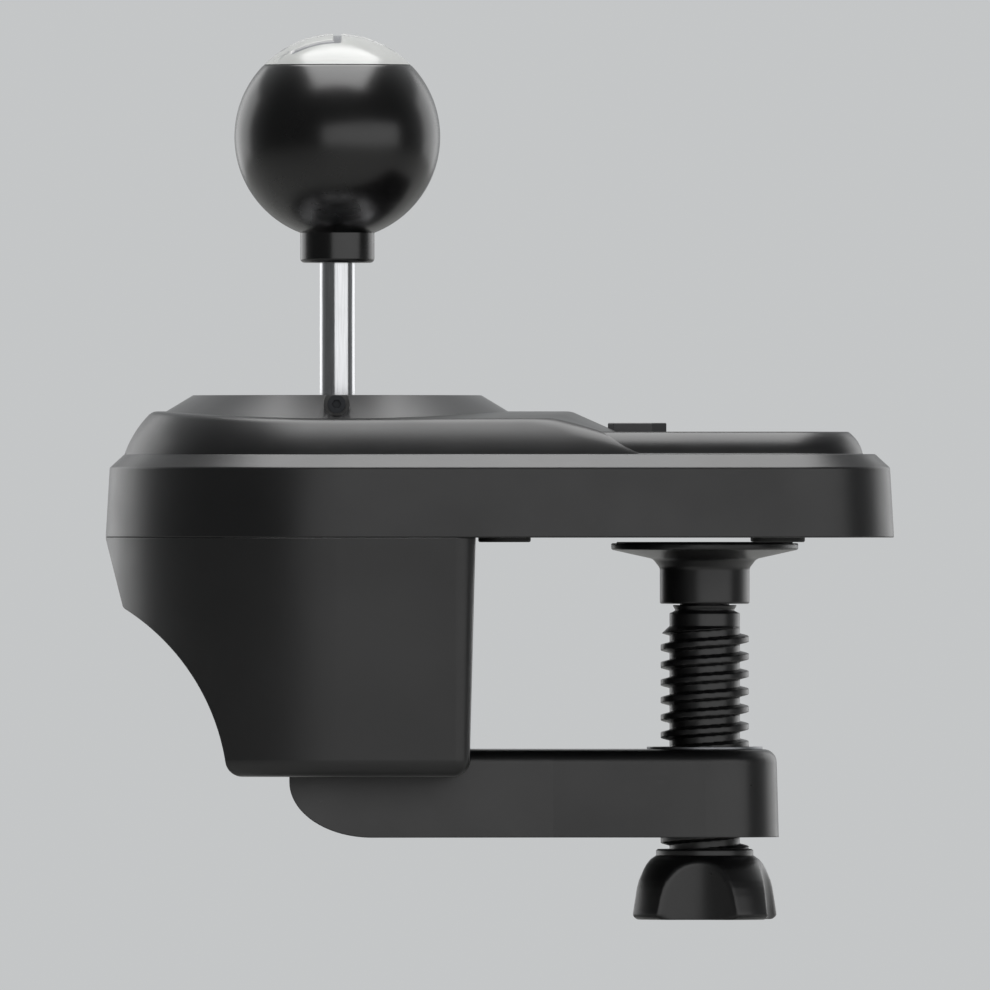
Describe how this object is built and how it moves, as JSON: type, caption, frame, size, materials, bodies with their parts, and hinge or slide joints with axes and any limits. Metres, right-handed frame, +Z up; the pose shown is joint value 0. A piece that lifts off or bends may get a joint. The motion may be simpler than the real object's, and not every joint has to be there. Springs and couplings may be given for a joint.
{
  "type": "sim racing gear shifter",
  "caption": "Desk-clamped H-pattern gear shifter with a ball-topped lever, a slotted gate plate, a mode button and a screw clamp below its housing.",
  "frame": {"origin": "on the clamp screw's axis, at the plane of the desk's top face, where the rubber feet end and the closed clamp pad meets them", "axes": "+X from the driver towards the desk, +Y to the driver's left, +Z up"},
  "size_m": [0.1911, 0.1124, 0.215],
  "materials": {
    "body_plastic": "fine satin grain, black",
    "housing_plastic": "satin, black",
    "arm_plastic": "satin, black",
    "inner_plastic": "moulded, dark grey",
    "button_plastic": "smooth satin, dark grey",
    "ball_gloss": "high gloss, black",
    "cap_white": "gloss, white",
    "bezel_paint": "satin black paint on metal",
    "gate_steel": "brushed",
    "lever_chrome": "polished",
    "machined_steel": "machined",
    "black_steel": "black oxide",
    "zinc_alloy": "die-cast",
    "bush_bronze": "sintered bronze",
    "black_rubber": "matt",
    "board_laminate": "green solder mask",
    "magnet_nickel": "nickel plate"
  },
  "bodies": {
    "base": {"top_cover": "body_plastic", "base_plate": "housing_plastic", "lower_housing": "housing_plastic", "rubber_feet": "black_rubber", "cover_screws": "black_steel", "housing_screws": "black_steel", "bezel_ring": "bezel_paint", "bezel_screws": "black_steel", "gate_plate": "gate_steel", "gate_screws": "black_steel", "pivot_frame": "zinc_alloy", "pivot_bushes": "bush_bronze", "sensor_board": "board_laminate", "main_board": "board_laminate", "mode_switch": "inner_plastic", "usb_socket": "machined_steel", "din_socket": "inner_plastic", "clamp_arm": "arm_plastic", "arm_bolts": "black_steel", "clamp_nut": "zinc_alloy", "centring_spring": "machined_steel"},
    "gimbal": {"gimbal_yoke": "zinc_alloy", "select_pins": "machined_steel", "detent_plunger": "machined_steel", "detent_spring": "machined_steel"},
    "lever": {"lever_hub": "zinc_alloy", "shift_pin": "machined_steel", "lever_rod": "lever_chrome", "rod_pin": "machined_steel", "knob_ball": "ball_gloss", "knob_cap": "cap_white", "knob_insert": "machined_steel", "lever_magnet": "magnet_nickel", "detent_cam": "machined_steel"},
    "pad": {"clamp_pad": "arm_plastic", "pad_facing": "black_rubber"},
    "screw": {"clamp_screw": "arm_plastic", "pad_clip": "machined_steel", "hand_knob": "arm_plastic", "knob_bolt": "black_steel"},
    "button": {"mode_button": "button_plastic", "switch_plunger": "inner_plastic"}
  },
  "joints": [
    {"name": "gate_select", "type": "hinge", "parent": "base", "child": "gimbal", "pos_m": [-0.0892, 0.0065, -0.03625], "axis": [-1, 0, 0], "range_deg": [-20.3, 10.5], "stiffness_Nm_per_rad": 1.2},
    {"name": "gear_shift", "type": "hinge", "parent": "gimbal", "child": "lever", "pos_m": [-0.0892, 0.0065, -0.03625], "axis": [0, 1, 0], "range_deg": [-12, 12]},
    {"name": "clamp_travel", "type": "slide", "parent": "base", "child": "pad", "axis": [0, 0, -1], "range_m": [0, 0.0345]},
    {"name": "clamp_turn", "type": "hinge", "parent": "pad", "child": "screw", "pos_m": [0, 0, 0], "axis": [0, 0, -1], "range_deg": [0, 2925]},
    {"name": "mode_button", "type": "slide", "parent": "base", "child": "button", "axis": [0, 0, -1], "range_m": [0, 0.0009], "stiffness_N_per_m": 900}
  ],
  "couplings": [
    {"joint": "clamp_turn", "follows": "clamp_travel", "rad_per_m": 1478.4}
  ]
}
